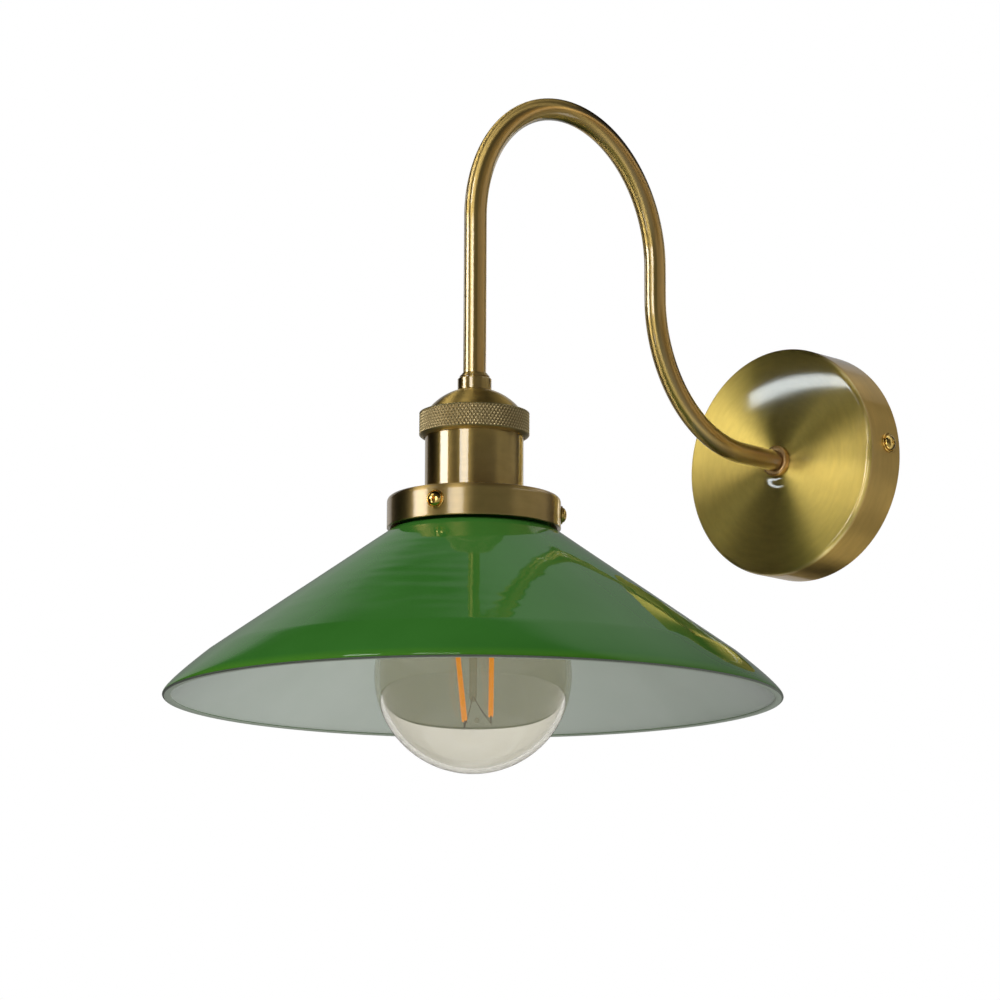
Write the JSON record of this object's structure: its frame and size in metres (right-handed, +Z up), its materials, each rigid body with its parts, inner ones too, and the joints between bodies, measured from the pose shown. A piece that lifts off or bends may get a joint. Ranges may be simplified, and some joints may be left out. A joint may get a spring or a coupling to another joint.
{
  "type": "gooseneck wall sconce",
  "caption": "Wall light with a round canopy, swan-neck tube arm, knurled lampholder, shade gallery, wide conical green glass shade and a globe filament bulb.",
  "frame": {"origin": "centre of the canopy on the wall plane, midway between the wall bracket's two slots", "axes": "+Y into the wall, -Y out into the room, +X to the right as seen from the room, +Z up"},
  "size_m": [0.2501, 0.3471, 0.2932],
  "materials": {
    "brass_satin": "satin antique brass, turned and brushed, clear lacquer",
    "brass_canopy": "circular-brushed antique brass under clear lacquer",
    "brass_bright": "polished brass screws, washers and contacts",
    "steel_zinc": "zinc-plated steel",
    "glass_green": "glossy green flashed over opal white glass",
    "glass_amber": "clear glass with a light smoky amber tint",
    "glass_clear": "clear lamp glass",
    "glass_black": "black vitreous cap insulator",
    "filament": "amber phosphor silicone coating",
    "nickel_wire": "thin nickel lead wire",
    "solder": "tinned lamp contact",
    "ceramic_white": "unglazed lampholder porcelain",
    "plastic_white": "moulded polyamide",
    "wire_brown": "brown insulation",
    "wire_blue": "blue insulation",
    "wire_green_yellow": "green and yellow insulation"
  },
  "bodies": {
    "fixture": {"wall_bracket": "steel_zinc", "canopy": "brass_canopy", "arm_tube": "brass_satin", "arm_collar": "brass_satin", "arm_lock_washer": "steel_zinc", "arm_hex_nut": "steel_zinc", "cable_bush": "plastic_white", "terminal_block": "plastic_white", "terminal_sleeves": "brass_bright", "terminal_screws": "steel_zinc", "terminal_block_screw": "steel_zinc", "earth_screw": "brass_bright", "earth_ring_tag": "steel_zinc", "live_wire": "wire_brown", "neutral_wire": "wire_blue", "earth_wire": "wire_green_yellow", "coupler": "brass_satin", "dome_cap": "brass_satin", "dome_lock_washer": "steel_zinc", "dome_hex_nut": "steel_zinc", "lampholder_shell": "brass_satin", "socket_ceramic": "ceramic_white", "socket_screw_shell": "brass_bright", "centre_contact": "brass_bright", "shell_contact": "brass_bright", "socket_terminal_screws": "steel_zinc", "shade_ring_nut": "brass_satin", "gallery": "brass_satin", "glass_shade": "glass_green"},
    "union_ring": {"knurled_ring": "brass_satin"},
    "bulb_tip": {"bulb_contact": "solder"},
    "bulb": {"bulb_insulator": "glass_black", "bulb_cap": "brass_bright", "bulb_glass": "glass_amber", "bulb_stem": "glass_clear", "bulb_filaments": "filament", "bulb_wires": "nickel_wire"},
    "gallery_washer_1": {"gallery_washer_1": "brass_bright"},
    "gallery_screw_1": {"gallery_screw_1": "brass_bright"},
    "gallery_washer_2": {"gallery_washer_2": "brass_bright"},
    "gallery_screw_2": {"gallery_screw_2": "brass_bright"},
    "gallery_washer_3": {"gallery_washer_3": "brass_bright"},
    "gallery_screw_3": {"gallery_screw_3": "brass_bright"},
    "canopy_washer_right": {"canopy_washer_right": "brass_bright"},
    "canopy_screw_right": {"canopy_screw_right": "brass_bright"},
    "canopy_washer_left": {"canopy_washer_left": "brass_bright"},
    "canopy_screw_left": {"canopy_screw_left": "brass_bright"}
  },
  "joints": [
    {"name": "union_ring_travel", "type": "slide", "parent": "fixture", "child": "union_ring", "axis": [0, 0, -1], "range_m": [0, 0.0063]},
    {"name": "bulb_travel", "type": "slide", "parent": "fixture", "child": "bulb_tip", "axis": [0, 0, -1], "range_m": [0, 0.0218]},
    {"name": "bulb_turn", "type": "hinge", "parent": "bulb_tip", "child": "bulb", "pos_m": [0, -0.222, -0.05], "axis": [0, 0, -1], "range_deg": [0, 2160]},
    {"name": "gallery_screw_1_travel", "type": "slide", "parent": "fixture", "child": "gallery_washer_1", "axis": [0.3007, -0.9537, 0], "range_m": [0, 0.00402]},
    {"name": "gallery_screw_1_turn", "type": "hinge", "parent": "gallery_washer_1", "child": "gallery_screw_1", "pos_m": [0.01068, -0.25586, -0.0512], "axis": [0.3007, -0.9537, 0], "range_deg": [0, 2880]},
    {"name": "gallery_screw_2_travel", "type": "slide", "parent": "fixture", "child": "gallery_washer_2", "axis": [0.6756, 0.7373, 0], "range_m": [0, 0.00402]},
    {"name": "gallery_screw_2_turn", "type": "hinge", "parent": "gallery_washer_2", "child": "gallery_screw_2", "pos_m": [0.02398, -0.19583, -0.0512], "axis": [0.6756, 0.7373, 0], "range_deg": [0, 2880]},
    {"name": "gallery_screw_3_travel", "type": "slide", "parent": "fixture", "child": "gallery_washer_3", "axis": [-0.9763, 0.2164, 0], "range_m": [0, 0.00402]},
    {"name": "gallery_screw_3_turn", "type": "hinge", "parent": "gallery_washer_3", "child": "gallery_screw_3", "pos_m": [-0.03466, -0.21432, -0.0512], "axis": [-0.9763, 0.2164, 0], "range_deg": [0, 2880]},
    {"name": "canopy_screw_right_travel", "type": "slide", "parent": "fixture", "child": "canopy_washer_right", "axis": [0.9973, 0, 0.0732], "range_m": [0, 0.00562]},
    {"name": "canopy_screw_right_turn", "type": "hinge", "parent": "canopy_washer_right", "child": "canopy_screw_right", "pos_m": [0.05136, -0.0086, 0.00377], "axis": [0.9973, 0, 0.0732], "range_deg": [0, 2880]},
    {"name": "canopy_screw_left_travel", "type": "slide", "parent": "fixture", "child": "canopy_washer_left", "axis": [-0.9973, 0, -0.0732], "range_m": [0, 0.00562]},
    {"name": "canopy_screw_left_turn", "type": "hinge", "parent": "canopy_washer_left", "child": "canopy_screw_left", "pos_m": [-0.05136, -0.0086, -0.00377], "axis": [-0.9973, 0, -0.0732], "range_deg": [0, 2880]}
  ],
  "couplings": [
    {"joint": "bulb_travel", "follows": "bulb_turn", "m_per_rad": 0.00057757}
  ]
}
